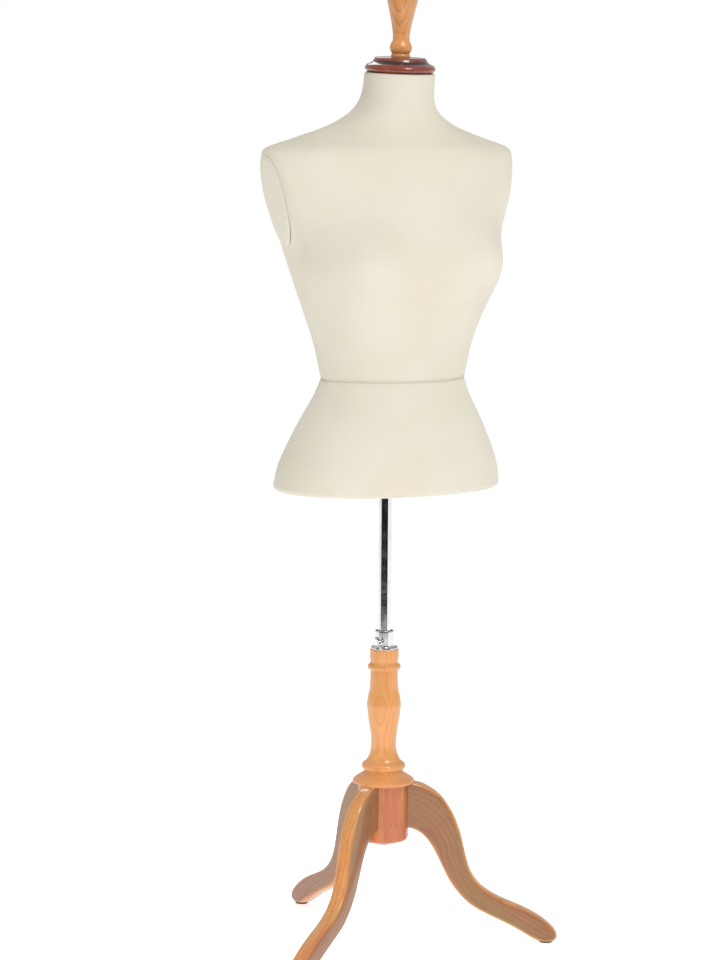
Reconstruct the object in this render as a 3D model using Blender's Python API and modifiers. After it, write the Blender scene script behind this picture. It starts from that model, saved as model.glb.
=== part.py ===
"""Dress form mannequin: a jersey-covered torso on a chromed pole, a turned column and three legs.

Metres, +Z up. The form faces -Y. The floor is z = 0 and the pole stands at (AXIS_X, AXIS_Y), so
that the middle of the whole form's footprint is the origin. Sizes below are in millimetres, measured
from the pole's axis and from the floor; mm() and the MM scale turn them into metres.
"""

import math

import bmesh
import bpy
from mathutils import Matrix, Vector

MM = 0.001
GAP = 0.3                      # clearance between pieces that touch
AXIS_X = -6.46                 # the pole's axis, behind which the back leg reaches out
AXIS_Y = -56.9

# Base
COLUMN_TOP = 455.0
COLUMN_FOOT = 250.0            # underside of the column's lowest disc
HUB_RADIUS = 38.4
HUB_BOTTOM = 161.0
TENON_RADIUS = 18.0
TENON_BOTTOM = 164.0
BORE_BOTTOM = 205.0            # blind bottom of the column's bore
BORE_RADIUS = 13.0
LEG_THICKNESS = 24.5
LEG_EDGE = 6.0                 # radius of the legs' rounded edges
LEG_ANGLES = {"leg_back": 93.0, "leg_left": -27.0, "leg_right": 213.0}
PAD_RADIUS = 10.0
PAD_THICKNESS = 3.0
PAD_REACH = 250.75             # foot pad's distance from the pole's axis
DOWEL_RADIUS = 4.0
DOWEL_HEIGHTS = {"lower": 205.0, "upper": 233.0}
DOWEL_SPAN = (22.5, 58.0)

# Pole and its clamp
POLE_RADIUS = 10.0
POLE_BORE = 8.6
POLE_BOTTOM = 300.0
POLE_TOP = 786.0
COLLAR_TOP = 483.0
CLAMP_HEIGHT = 467.0
CLAMP_RADIUS = 3.0
CLAMP_ANGLE = 225.0            # the wing screw stands out forwards and to -X
WING_TURN = 25.0               # how far the wings lean from upright when the clamp is tight

# Torso
JERSEY = 1.2                   # thickness of the jersey
SHELL_INSET = 2.2              # shell's outer face, inside the jersey's outer face
SHELL_SKIN_GAP = 0.9           # extra room between the jersey and the shell on tight curves
SHELL_WALL = 2.8
BOARD_BOTTOM = 703.2
BOARD_TOP = 716.0
HEM_RADIUS = 8.0               # rounding of the torso's lower edge
HEM_STEPS = 3
BOARD_TAPER = 2.0              # how far the board's top draws in
HEM_MARGIN = 26.0
SOCKET_TOP = 800.0
AROUND = 28                    # points round a torso section
NECK_TILT = math.radians(3.5)
NECK_BLOCK = 16.0              # thickness of the block that closes the neck
ARM_TOP_X = 206.0              # outer face of an arm plate at z = 1200
ARM_LEAN = 0.26                # how far it slopes in for each mm down
ARM_PLATE = (31.5, 69.0, 3.5)  # half width, half height, thickness
ARM_CENTRE = (0.0, 1131.0)    # y and z of the plate's middle
BUST_X = 90.0
BUST_Z = 1041.0
BUST_PUSH = 41.0
BUST_SPREAD = (70.0, 74.0)
BUST_SPLAY = 0.34

# Torso sections from the hem up: height, half width, front y, back y, y of the widest place,
# squareness (2 is an ellipse). Smooth curves join them.
SKIRT_SECTIONS = [
    (709.5, 178.0, -128.0, 119.0, -3.0, 2.10),
    (730.0, 174.5, -127.5, 115.0, -5.0, 2.10),
    (753.0, 167.0, -125.0, 109.0, -8.0, 2.10),
    (798.0, 146.5, -118.0, 93.0, -13.0, 2.05),
    (842.0, 122.5, -110.0, 75.0, -17.0, 2.00),
    (868.0, 112.0, -107.0, 66.0, -19.0, 2.00),
]
BODICE_SECTIONS = [
    (868.0, 112.0, -107.0, 66.0, -19.0, 2.00),
    (922.0, 124.0, -112.0, 72.0, -18.0, 2.05),
    (967.0, 139.0, -117.0, 78.0, -16.0, 2.10),
    (1010.0, 152.0, -118.0, 85.0, -11.0, 2.20),
    (1045.0, 162.5, -117.0, 90.0, -6.0, 2.25),
    (1079.0, 173.0, -114.0, 93.0, -1.0, 2.25),
    (1110.0, 189.0, -108.0, 95.0, 2.0, 2.20),
    (1140.0, 204.0, -102.0, 92.0, 3.0, 2.10),
    (1168.0, 211.0, -95.0, 87.0, 3.0, 2.00),
    (1190.0, 212.0, -90.0, 80.0, 2.0, 1.85),
    (1207.0, 204.0, -86.0, 72.0, 0.0, 1.65),
    (1222.0, 160.0, -82.0, 63.0, -3.0, 1.50),
    (1237.0, 114.0, -79.0, 54.0, -8.0, 1.55),
    (1250.0, 85.0, -77.0, 45.0, -14.0, 1.75),
    (1263.0, 66.0, -76.0, 36.0, -20.0, 1.95),
    (1278.0, 56.0, -79.0, 28.0, -25.5, 2.00),
    (1296.0, 52.5, -83.0, 22.0, -30.5, 2.00),
    (1318.0, 52.0, -87.0, 18.0, -34.5, 2.00),
]
SKIRT_ROWS = 5
BODICE_ROWS = 16
NECK_CENTRE = (-34.5, 1318.0)  # y and z of the middle of the neck's top
NECK_WIDTH = 52.0              # half width and half depth of the neck's top
NECK_DEPTH = 52.5
NECK_INSET = 3.6

COLUMN_PROFILE = [
    (21.0, 455.0), (22.0, 454.0), (22.0, 441.0), (21.6, 432.5), (24.4, 430.0), (25.3, 427.0),
    (24.3, 424.0), (20.8, 422.0), (21.0, 416.0), (21.6, 402.0), (22.6, 391.0), (24.6, 381.0),
    (26.0, 372.0), (26.3, 367.5), (25.6, 364.0), (24.8, 354.0), (23.2, 343.0), (21.2, 331.0),
    (19.8, 320.0), (19.3, 310.0), (19.8, 301.0), (22.0, 291.5), (26.0, 283.5), (32.6, 277.5),
    (33.6, 274.0), (32.6, 271.2), (29.2, 269.6), (28.4, 267.6), (30.2, 265.4), (34.5, 262.2),
    (39.5, 258.9), (44.0, 255.8), (46.6, 253.2), (46.8, 250.0),
]
HUB_PROFILE = [(38.4, 249.7), (38.4, 167.0), (37.2, 163.0), (34.0, 161.0)]
LEG_OUTLINE = [
    (30.0, 249.2), (52.0, 248.8), (71.0, 240.5), (87.5, 228.0), (100.0, 211.5), (109.5, 194.0),
    (117.0, 174.0), (122.5, 153.0), (128.0, 130.0), (135.0, 110.0), (145.5, 94.0), (160.0, 81.0),
    (178.0, 70.3), (199.0, 61.0), (220.0, 51.5), (239.0, 41.0), (255.0, 29.0), (264.5, 18.5),
    (267.0, 9.5), (261.5, 3.3), (240.0, 3.3), (228.0, 8.5), (213.5, 17.0), (197.0, 26.5),
    (178.0, 36.0), (158.5, 45.5), (141.0, 55.0), (126.5, 66.5), (113.5, 80.5), (101.5, 97.5),
    (92.5, 115.0), (82.5, 136.0), (72.0, 155.0), (59.0, 170.0), (44.0, 178.0), (30.0, 182.0),
]
CAP_PROFILE = [
    (35.0, 22.5), (37.4, 21.7), (38.8, 19.4), (40.6, 16.2), (44.0, 13.8), (48.6, 11.8),
    (51.2, 9.0), (51.8, 6.2), (50.4, 2.9), (46.5, 0.9), (42.0, 0.5),
]
CAP_TOP = 22.5
STUD_TOP = 52.0
FINIAL_PROFILE = [
    (0.0, 138.5), (4.2, 137.5), (7.4, 134.5), (8.6, 130.0), (7.9, 125.0), (5.8, 121.5),
    (5.2, 118.0), (7.6, 115.2), (13.0, 112.4), (19.0, 107.2), (22.4, 100.0), (23.3, 92.0),
    (22.2, 82.0), (19.6, 70.0), (16.9, 58.0), (14.2, 45.0), (12.8, 36.0), (12.3, 29.5),
    (12.9, 23.5), (15.2, 19.0), (16.4, 14.0), (15.2, 9.0), (12.6, 5.4), (14.0, 3.2), (14.0, 0.3),
]

for stale in list(bpy.data.objects):
    bpy.data.objects.remove(stale, do_unlink=True)

parts = bpy.data.collections.new("dress_form_mannequin")
cutters = bpy.data.collections.new("cutters")
bpy.context.scene.collection.children.link(parts)
bpy.context.scene.collection.children.link(cutters)


# ---------------------------------------------------------------- materials

def material(name, colour, roughness, metallic=0.0):
    made = bpy.data.materials.new(name)
    made.use_nodes = True
    shader = made.node_tree.nodes["Principled BSDF"]
    shader.inputs["Base Color"].default_value = (*colour, 1.0)
    shader.inputs["Roughness"].default_value = roughness
    shader.inputs["Metallic"].default_value = metallic
    return made


WOOD = (0.47, 0.22, 0.10)
RED_WOOD = (0.36, 0.09, 0.04)
JERSEY_CREAM = (0.83, 0.77, 0.65)
PALE_WOOD = (0.62, 0.47, 0.30)
MOULDED = (0.55, 0.47, 0.36)
CHROME = (0.82, 0.83, 0.85)
STEEL = (0.55, 0.56, 0.58)
BRASS = (0.78, 0.58, 0.25)
NYLON = (0.10, 0.10, 0.10)
FELT = (0.16, 0.12, 0.09)


# ---------------------------------------------------------------- helpers

def empty(name, location, parent=None, rotation=(0.0, 0.0, 0.0)):
    made = bpy.data.objects.new(name, None)
    made.location = location
    made.rotation_euler = rotation
    made.parent = parent
    parts.objects.link(made)
    return made


axis = empty("pole_axis", (AXIS_X * MM, AXIS_Y * MM, 0.0))


def finish(made, parent, colour, roughness, metallic=0.0):
    """Give a piece its material and smooth shading, and hang it on its parent."""
    made.data.materials.clear()
    made.data.materials.append(material(made.name, colour, roughness, metallic))
    made.parent = parent
    made.data.shade_smooth()
    made.data.set_sharp_from_angle(angle=math.radians(35.0))
    return made


def mesh_object(name, mesh_builder, collection=None):
    """Run mesh_builder on an empty bmesh and link the result as an object."""
    shape = bmesh.new()
    mesh_builder(shape)
    data = bpy.data.meshes.new(name)
    shape.to_mesh(data)
    shape.free()
    made = bpy.data.objects.new(name, data)
    (collection or parts).objects.link(made)
    return made


def turned(name, profile, closed=False, steps=24):
    """A lathe-turned piece: profile is (radius, height) in mm, down the outer side."""
    def outline(shape):
        points = [shape.verts.new((r * MM, 0.0, z * MM)) for r, z in profile]
        for first, second in zip(points, points[1:]):
            shape.edges.new((first, second))
        if closed:
            shape.edges.new((points[-1], points[0]))

    made = mesh_object(name, outline)
    screw = made.modifiers.new("Turn", "SCREW")
    screw.steps = steps
    screw.render_steps = steps
    screw.use_merge_vertices = True
    screw.merge_threshold = 0.00001
    screw.use_smooth_shade = True
    return made


def rod(name, radius, start, end, sides=16, collection=None):
    """A plain round bar between two points given in mm."""
    start = Vector(start) * MM
    end = Vector(end) * MM
    along = end - start
    turn = along.to_track_quat("Z", "Y").to_matrix().to_4x4()

    def bar(shape):
        place = Matrix.Translation((start + end) / 2.0) @ turn
        bmesh.ops.create_cone(shape, cap_ends=True, segments=sides, radius1=radius * MM,
                              radius2=radius * MM, depth=along.length, matrix=place)

    return mesh_object(name, bar, collection)


def cutter(name, radius, start, end, sides=16):
    made = rod(name, radius, start, end, sides, cutters)
    made.parent = axis
    made.hide_render = True
    made.display_type = "WIRE"
    return made


def boolean(made, tool, operation="DIFFERENCE"):
    change = made.modifiers.new(tool.name, "BOOLEAN")
    change.operation = operation
    change.solver = "EXACT"
    change.object = tool


def loft(name, rings, caps=True, collection=None):
    """Bridge rings of points (in mm, anticlockwise from above, bottom ring first) with triangles.

    The diagonals mirror each other across x = 0, so skins offset from one another stay parallel.
    """
    def skin(shape):
        rows = [[shape.verts.new(Vector(point) * MM) for point in ring] for ring in rings]
        count = len(rows[0])
        for lower, upper in zip(rows, rows[1:]):
            for i in range(count):
                j = (i + 1) % count
                if i < count // 2:
                    shape.faces.new((lower[i], lower[j], upper[j]))
                    shape.faces.new((lower[i], upper[j], upper[i]))
                else:
                    shape.faces.new((lower[i], lower[j], upper[i]))
                    shape.faces.new((lower[j], upper[j], upper[i]))
        if caps:
            shape.faces.new(list(reversed(rows[0])))
            shape.faces.new(rows[-1])

    return mesh_object(name, skin, collection)


def flat_plate(name, points, thickness, edge, smooth=True, resolution=2):
    """An outline in the local XY plane, thickened along Z, its edges rounded by edge."""
    curve = bpy.data.curves.new(name + "_outline", "CURVE")
    curve.dimensions = "2D"
    curve.fill_mode = "BOTH"
    curve.extrude = (thickness / 2.0 - edge) * MM
    curve.bevel_depth = edge * MM
    curve.bevel_resolution = 1
    curve.offset = -edge * MM
    if smooth:
        spline = curve.splines.new("BEZIER")
        spline.bezier_points.add(len(points) - 1)
        for knot, (x, y) in zip(spline.bezier_points, points):
            knot.co = (x * MM, y * MM, 0.0)
            knot.handle_left_type = "AUTO"
            knot.handle_right_type = "AUTO"
        spline.resolution_u = resolution
    else:
        spline = curve.splines.new("POLY")
        spline.points.add(len(points) - 1)
        for knot, (x, y) in zip(spline.points, points):
            knot.co = (x * MM, y * MM, 0.0, 1.0)
    spline.use_cyclic_u = True
    shape = bpy.data.objects.new(name + "_outline", curve)
    parts.objects.link(shape)
    graph = bpy.context.evaluated_depsgraph_get()
    data = bpy.data.meshes.new_from_object(shape.evaluated_get(graph))
    data.name = name
    bpy.data.objects.remove(shape, do_unlink=True)
    welded = bmesh.new()
    welded.from_mesh(data)
    bmesh.ops.remove_doubles(welded, verts=welded.verts, dist=0.00001)
    welded.to_mesh(data)
    welded.free()
    made = bpy.data.objects.new(name, data)
    parts.objects.link(made)
    return made


# ---------------------------------------------------------------- torso surface

def curve_through(rows, t):
    """Catmull-Rom curve through the section table, t from 0 to 1."""
    last = len(rows) - 1
    place = min(max(t, 0.0), 1.0) * last
    i = min(int(place), last - 1)
    f = place - i

    def row(k):
        if k < 0:
            return [2.0 * a - b for a, b in zip(rows[0], rows[1])]
        if k > last:
            return [2.0 * a - b for a, b in zip(rows[last], rows[last - 1])]
        return rows[k]

    blend = []
    for a, b, c, d in zip(row(i - 1), row(i), row(i + 1), row(i + 2)):
        blend.append(0.5 * (2 * b + (c - a) * f + (2 * a - 5 * b + 4 * c - d) * f * f
                            + (3 * b - a - 3 * c + d) * f ** 3))
    return blend


def soft_min(a, b, reach):
    mix = min(max(0.5 + 0.5 * (b - a) / reach, 0.0), 1.0)
    return b * (1.0 - mix) + a * mix - reach * mix * (1.0 - mix)


def arm_face(z):
    """x of the flat that an arm plate lies on."""
    return ARM_TOP_X - ARM_LEAN * (1200.0 - z) - ARM_PLATE[2] - GAP


def torso_ring(section, inset=0.0):
    """One horizontal ring of the torso's skin, anticlockwise from the back."""
    z, half, front, back, middle, square = section
    half -= inset
    front += inset
    back -= inset
    ring = []
    for k in range(AROUND):
        a = 2.0 * math.pi * k / AROUND
        across = -math.sin(a)
        along = math.cos(a)
        x = half * math.copysign(abs(across) ** (2.0 / square), across)
        depth = back - middle if along > 0 else middle - front
        y = middle + depth * math.copysign(abs(along) ** (2.0 / square), along)
        for side in (-1.0, 1.0):
            near = ((x - side * BUST_X) / BUST_SPREAD[0]) ** 2 + ((z - BUST_Z) / BUST_SPREAD[1]) ** 2
            push = math.exp(-1.6 * near) * min(max((middle - y) / 40.0, 0.0), 1.0) * BUST_PUSH
            x += side * push * BUST_SPLAY
            y -= push
        if z > 1040.0 and abs(x) > 40.0:
            x = math.copysign(soft_min(abs(x), arm_face(z), 8.0), x)
        lean = min(max((z - 1215.0) / 100.0, 0.0), 1.0)
        lean = lean * lean * (3.0 - 2.0 * lean)
        ring.append((x, y, z + (y - middle) * math.tan(NECK_TILT) * lean))
    return ring


def skirt_rings(rows=SKIRT_ROWS):
    return [torso_ring(curve_through(SKIRT_SECTIONS, k / rows)) for k in range(rows + 1)]


def bodice_rings(rows=BODICE_ROWS):
    return [torso_ring(curve_through(BODICE_SECTIONS, k / rows)) for k in range(rows + 1)]


def hem_rings(under=0.0):
    """Rings round the torso's lower edge; under is the depth below the jersey's outer face."""
    middle_z = BOARD_BOTTOM - SHELL_INSET + HEM_RADIUS
    radius = HEM_RADIUS - under
    rings = []
    for k in range(HEM_STEPS + 1):
        turn = math.radians(90.0) * k / HEM_STEPS
        height = middle_z - radius * math.cos(turn)
        rings.append(torso_ring((height, *SKIRT_SECTIONS[0][1:]), HEM_RADIUS - radius * math.sin(turn)))
    return rings


def turned_under_ring():
    """The raw edge of the skirt's jersey, turned in beneath the board."""
    return torso_ring((BOARD_BOTTOM - SHELL_INSET, *SKIRT_SECTIONS[0][1:]), HEM_MARGIN)


def inward(made, distance):
    """Shift a lofted skin in along its own normals by distance mm."""
    for vertex, normal in [(v, v.normal.copy()) for v in made.data.vertices]:
        vertex.co -= normal * distance * MM


def solidify(made, thickness):
    thick = made.modifiers.new("Thickness", "SOLIDIFY")
    thick.thickness = thickness * MM
    thick.offset = -1.0


# ---------------------------------------------------------------- base

column = turned("column", [(0.0, BORE_BOTTOM), (BORE_RADIUS, BORE_BOTTOM), (BORE_RADIUS, COLUMN_TOP)]
                + COLUMN_PROFILE
                + [(TENON_RADIUS, COLUMN_FOOT), (TENON_RADIUS, TENON_BOTTOM), (4.3, TENON_BOTTOM),
                   (4.3, 195.0), (0.0, 195.0)], steps=22)
finish(column, axis, WOOD, 0.35)

hub = turned("hub", HUB_PROFILE + [(TENON_RADIUS + GAP, HUB_BOTTOM), (TENON_RADIUS + GAP, 249.7)],
             closed=True)
finish(hub, axis, WOOD, 0.35)

hub_space = cutter("hub_space", HUB_RADIUS + GAP, (0, 0, 150), (0, 0, 260), sides=48)


def turned_about_pole(point, degrees):
    """Turn a point in mm about the pole's axis."""
    return Matrix.Rotation(math.radians(degrees), 3, "Z") @ Vector(point)


for leg_name, angle in LEG_ANGLES.items():
    leg = flat_plate(leg_name, list(reversed(LEG_OUTLINE)), LEG_THICKNESS, LEG_EDGE, resolution=1)
    leg.rotation_euler = (math.radians(90.0), 0.0, math.radians(angle))
    boolean(leg, hub_space)
    for place, height in DOWEL_HEIGHTS.items():
        start = turned_about_pole((DOWEL_SPAN[0], 0.0, height), angle)
        end = turned_about_pole((DOWEL_SPAN[1], 0.0, height), angle)
        slack = (end - start).normalized() * GAP
        dowel_name = leg_name.replace("leg", "dowel") + "_" + place
        hole = cutter(dowel_name + "_hole", DOWEL_RADIUS + GAP, start - slack, end + slack, 12)
        boolean(leg, hole)
        boolean(hub, hole)
        finish(rod(dowel_name, DOWEL_RADIUS, start, end, 12), axis, PALE_WOOD, 0.7)
    finish(leg, axis, WOOD, 0.35)
    pad_name = leg_name.replace("leg", "foot_pad")
    pad = turned(pad_name, [(0.0, PAD_THICKNESS), (PAD_RADIUS, PAD_THICKNESS), (PAD_RADIUS, 0.0),
                            (0.0, 0.0)], steps=20)
    pad.location = turned_about_pole((PAD_REACH, 0.0, 0.0), angle) * MM
    finish(pad, axis, FELT, 0.95)

washer = turned("hub_washer", [(26.0, 160.7), (26.0, 158.2), (4.3, 158.2), (4.3, 160.7)], closed=True)
finish(washer, axis, STEEL, 0.4, 1.0)
bolt_head = rod("hub_bolt", 8.0, (0, 0, 151.5), (0, 0, 157.9), sides=6)
bolt_shank = cutter("hub_bolt_shank", 4.0, (0, 0, 153.0), (0, 0, 192.0), sides=16)
boolean(bolt_head, bolt_shank, "UNION")
finish(bolt_head, axis, STEEL, 0.4, 1.0)

# ---------------------------------------------------------------- pole, sleeve and clamp

sleeve = turned("pole_sleeve", [(BORE_RADIUS - GAP, COLUMN_TOP), (BORE_RADIUS - GAP, BORE_BOTTOM + GAP),
                                (POLE_RADIUS + GAP, BORE_BOTTOM + GAP), (POLE_RADIUS + GAP, COLUMN_TOP)],
                closed=True)
finish(sleeve, axis, STEEL, 0.45, 1.0)

collar = turned("clamp_collar", [(12.4, COLLAR_TOP), (13.6, COLLAR_TOP), (14.6, COLLAR_TOP - 1.0),
                                 (14.6, 459.4), (15.2, 458.2), (20.2, 458.2), (20.8, 457.5),
                                 (20.8, COLUMN_TOP + GAP), (10.6, COLUMN_TOP + GAP), (10.6, 475.0),
                                 (12.4, 475.0)], closed=True)
thumb_hole = cutter("thumb_hole", CLAMP_RADIUS + GAP, turned_about_pole((8.0, 0, CLAMP_HEIGHT), CLAMP_ANGLE),
                    turned_about_pole((18.0, 0, CLAMP_HEIGHT), CLAMP_ANGLE))
boolean(collar, thumb_hole)

bush = turned("guide_bush", [(12.1, COLLAR_TOP), (12.1, 475.0 + GAP), (POLE_RADIUS + GAP, 475.0 + GAP),
                             (POLE_RADIUS + GAP, COLLAR_TOP)], closed=True)
finish(bush, axis, NYLON, 0.5)

COLLAR_SCREW_ANGLES = (60.0, 180.0, 300.0)
COLLAR_SCREW_REACH = 18.0
for number, angle in enumerate(COLLAR_SCREW_ANGLES):
    start = turned_about_pole((COLLAR_SCREW_REACH, 0.0, 440.0), angle)
    end = turned_about_pole((COLLAR_SCREW_REACH, 0.0, 470.0), angle)
    hole = cutter(f"collar_screw_hole_{number}", 1.4, start, end, 10)
    boolean(collar, hole)
    boolean(column, hole)
finish(collar, axis, CHROME, 0.12, 1.0)


def round_headed_screw(name, reach, angle, seat, head_radius, head_height, shank_radius, tip):
    """A screw beside the pole; with head_height below zero its head is under the seat."""
    profile = [(0.0, seat + head_height), (head_radius, seat + head_height), (head_radius, seat),
               (shank_radius, seat), (shank_radius, tip), (0.0, tip)]
    if head_height < 0.0:
        profile.reverse()
    screw = turned(name, profile, steps=12)
    screw.location = turned_about_pole((reach, 0.0, 0.0), angle) * MM
    finish(screw, axis, STEEL, 0.35, 1.0)


for number, angle in enumerate(COLLAR_SCREW_ANGLES):
    round_headed_screw(f"collar_screw_{number + 1}", COLLAR_SCREW_REACH, angle, 458.5, 2.4, 1.6,
                       1.1, 441.0)

clamp = empty("clamp_axis", (0.0, 0.0, CLAMP_HEIGHT * MM), axis, (0.0, 0.0, math.radians(CLAMP_ANGLE)))
clamp_pad = rod("clamp_pad", CLAMP_RADIUS - 0.1, (10.3, 0, 0), (12.7, 0, 0))
finish(clamp_pad, clamp, BRASS, 0.35, 1.0)

WING_HALF = [(21.5, 2.4), (23.2, 6.2), (26.4, 10.2), (30.6, 11.4), (33.4, 8.6), (31.8, 4.4), (29.6, 1.6)]
wing_outline = [(x, -y) for x, y in WING_HALF] + WING_HALF[::-1]
wing = flat_plate("clamp_screw", wing_outline, 3.0, 1.1)
wing.rotation_euler = (math.radians(90.0 + WING_TURN), 0.0, 0.0)
screw_shank = cutter("clamp_screw_shank", CLAMP_RADIUS, (13.0, 0, 0), (28.0, 0, 0))
screw_shank.parent = clamp
boss = cutter("clamp_screw_boss", 4.2, (18.0, 0, 0), (27.0, 0, 0))
boss.parent = clamp
boolean(wing, boss, "UNION")
boolean(wing, screw_shank, "UNION")
finish(wing, clamp, CHROME, 0.15, 1.0)

pole = turned("pole", [(POLE_BORE, POLE_TOP), (POLE_RADIUS, POLE_TOP), (POLE_RADIUS, POLE_BOTTOM),
                       (POLE_BORE, POLE_BOTTOM)], closed=True)
finish(pole, axis, CHROME, 0.08, 1.0)
PLUG_SPIGOT = POLE_BORE - GAP
bottom_plug = turned("pole_bottom_plug", [(0.0, POLE_BOTTOM + 16), (PLUG_SPIGOT, POLE_BOTTOM + 16),
                                          (PLUG_SPIGOT, POLE_BOTTOM - GAP),
                                          (POLE_RADIUS - 0.2, POLE_BOTTOM - GAP),
                                          (POLE_RADIUS - 0.2, POLE_BOTTOM - 2.5),
                                          (0.0, POLE_BOTTOM - 2.5)], steps=20)
finish(bottom_plug, axis, NYLON, 0.5)
top_plug = turned("pole_top_plug", [(0.0, POLE_TOP + 3.0), (POLE_RADIUS - 0.4, POLE_TOP + 3.0),
                                    (POLE_RADIUS - 0.4, POLE_TOP + GAP), (PLUG_SPIGOT, POLE_TOP + GAP),
                                    (PLUG_SPIGOT, POLE_TOP - 16), (0.0, POLE_TOP - 16)], steps=20)
finish(top_plug, axis, NYLON, 0.5)

# ---------------------------------------------------------------- torso

SOCKET_CEILING = POLE_TOP + 3.0 + GAP
socket = turned("pole_socket", [(0.0, SOCKET_TOP), (13.0, SOCKET_TOP), (13.0, BOARD_BOTTOM - GAP),
                                (38.0, BOARD_BOTTOM - GAP), (38.0, BOARD_BOTTOM - 2.8),
                                (POLE_RADIUS + GAP, BOARD_BOTTOM - 2.8),
                                (POLE_RADIUS + GAP, SOCKET_CEILING), (0.0, SOCKET_CEILING)])

board_top_ring = torso_ring((BOARD_TOP, *SKIRT_SECTIONS[0][1:]), SHELL_INSET + BOARD_TAPER)
board = loft("base_board", hem_rings(SHELL_INSET) + [board_top_ring])
boolean(board, cutter("board_hole", 13.0 + GAP, (0, 0, 690), (0, 0, 730), 32))
SOCKET_SCREW_ANGLES = (45.0, 135.0, 225.0, 315.0)
for number, angle in enumerate(SOCKET_SCREW_ANGLES):
    start = turned_about_pole((28.0, 0.0, 690.0), angle)
    end = turned_about_pole((28.0, 0.0, 714.0), angle)
    hole = cutter(f"socket_screw_hole_{number}", 2.3, start, end, 10)
    boolean(board, hole)
    boolean(socket, hole)
finish(board, axis, PALE_WOOD, 0.8)
finish(socket, axis, STEEL, 0.4, 1.0)
for number, angle in enumerate(SOCKET_SCREW_ANGLES):
    round_headed_screw(f"socket_screw_{number + 1}", 28.0, angle, BOARD_BOTTOM - 2.8 - GAP, 4.0,
                       -2.0, 2.0, 713.0)

skirt = loft("jersey_skirt", [turned_under_ring()] + hem_rings() + skirt_rings()[1:], caps=False)
solidify(skirt, JERSEY)
finish(skirt, axis, JERSEY_CREAM, 0.9)
bodice_shape = bodice_rings()
bodice = loft("jersey_bodice", bodice_shape, caps=False)
solidify(bodice, JERSEY)
finish(bodice, axis, JERSEY_CREAM, 0.9)


def ring_between(lower, upper, height):
    """The ring where a level at height (in mm, by the form's side) crosses between two rings."""
    side = AROUND // 4
    share = (height - lower[side][2]) / (upper[side][2] - lower[side][2])
    return [Vector(a).lerp(Vector(b), share) for a, b in zip(lower, upper)]


skirt_shape = skirt_rings()
shell_foot = ring_between(skirt_shape[0], skirt_shape[1], BOARD_TOP + 1.6)
shell_head = ring_between(bodice_shape[-2], bodice_shape[-1], NECK_CENTRE[1] - NECK_BLOCK - 1.6)
shell_rings = [shell_foot] + skirt_shape[1:-1] + bodice_shape[:-1] + [shell_head]


def shell_half(name, low_y, high_y):
    """The moulded shell between two planes across the form."""
    half = loft(name, shell_rings, caps=False)
    inward(half, SHELL_INSET + SHELL_SKIN_GAP)
    solidify(half, SHELL_WALL)

    def block(shape):
        size = Matrix.Diagonal((0.6, (high_y - low_y) * MM, 0.8, 1.0))
        place = Matrix.Translation((0.0, (low_y + high_y) / 2.0 * MM, 1.0))
        bmesh.ops.create_cube(shape, size=1.0, matrix=place @ size)
    side = mesh_object(name + "_side", block, cutters)
    side.parent = axis
    side.hide_render = True
    side.display_type = "WIRE"
    boolean(half, side, "INTERSECT")
    return finish(half, axis, MOULDED, 0.85)


shell_half("shell_front", -250.0, -GAP / 2.0)
shell_half("shell_back", GAP / 2.0, 250.0)

for side, arm_name in ((1.0, "arm_plate_left"), (-1.0, "arm_plate_right")):
    half_width, half_height, thickness = ARM_PLATE
    oval = []
    for k in range(20):
        a = 2.0 * math.pi * k / 20
        oval.append((half_width * math.cos(a), half_height * math.sin(a)))
    plate = flat_plate(arm_name, oval, thickness, 1.5, smooth=False)
    lean = math.atan(ARM_LEAN)
    middle_x = ARM_TOP_X - ARM_LEAN * (1200.0 - ARM_CENTRE[1]) - thickness / 2.0 / math.cos(lean)
    upright = Matrix.Rotation(math.radians(90.0), 4, "Z") @ Matrix.Rotation(math.radians(90.0), 4, "X")
    leaning = Matrix.Rotation(side * lean, 4, "Y")
    place = Matrix.Translation(Vector((side * middle_x, ARM_CENTRE[0], ARM_CENTRE[1])) * MM)
    plate.matrix_local = place @ leaning @ upright
    finish(plate, axis, JERSEY_CREAM, 0.9)

# ---------------------------------------------------------------- neck

neck = empty("neck_top", (0.0, NECK_CENTRE[0] * MM, NECK_CENTRE[1] * MM), axis, (NECK_TILT, 0.0, 0.0))
block_rings = []
for z in (-NECK_BLOCK, 0.0):
    ring = []
    for k in range(AROUND):
        a = 2.0 * math.pi * k / AROUND
        ring.append((-(NECK_WIDTH - NECK_INSET) * math.sin(a), (NECK_DEPTH - NECK_INSET) * math.cos(a), z))
    block_rings.append(ring)
neck_block = loft("neck_block", block_rings)
neck_block.parent = neck
stud_hole = cutter("stud_hole", 3.3, (0, 0, -20), (0, 0, 5), 12)
stud_hole.parent = neck
boolean(neck_block, stud_hole)
finish(neck_block, neck, PALE_WOOD, 0.8)

cap = turned("neck_cap", [(3.3, CAP_TOP)] + CAP_PROFILE + [(3.3, 0.5)], closed=True, steps=26)
finish(cap, neck, RED_WOOD, 0.25)
finial = turned("finial", [(r, z + CAP_TOP) for r, z in FINIAL_PROFILE]
                + [(3.3, CAP_TOP + GAP), (3.3, STUD_TOP + 1.5), (0.0, STUD_TOP + 1.5)], steps=16)
finish(finial, neck, WOOD, 0.25)
stud = rod("finial_stud", 3.0, (0, 0, 1.0 - NECK_BLOCK), (0, 0, STUD_TOP), 12)
finish(stud, neck, STEEL, 0.4, 1.0)
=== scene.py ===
"""Dress form mannequin: a jersey-covered torso on a chromed pole, a turned column and three legs.

The looks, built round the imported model. Metres, +Z up, the form faces -Y. Sizes written in
millimetres are multiplied by MM; heights are above the floor, and r is from the pole's axis.
"""
import math

import bmesh
import bpy
from mathutils import Matrix, Vector, noise


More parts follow.
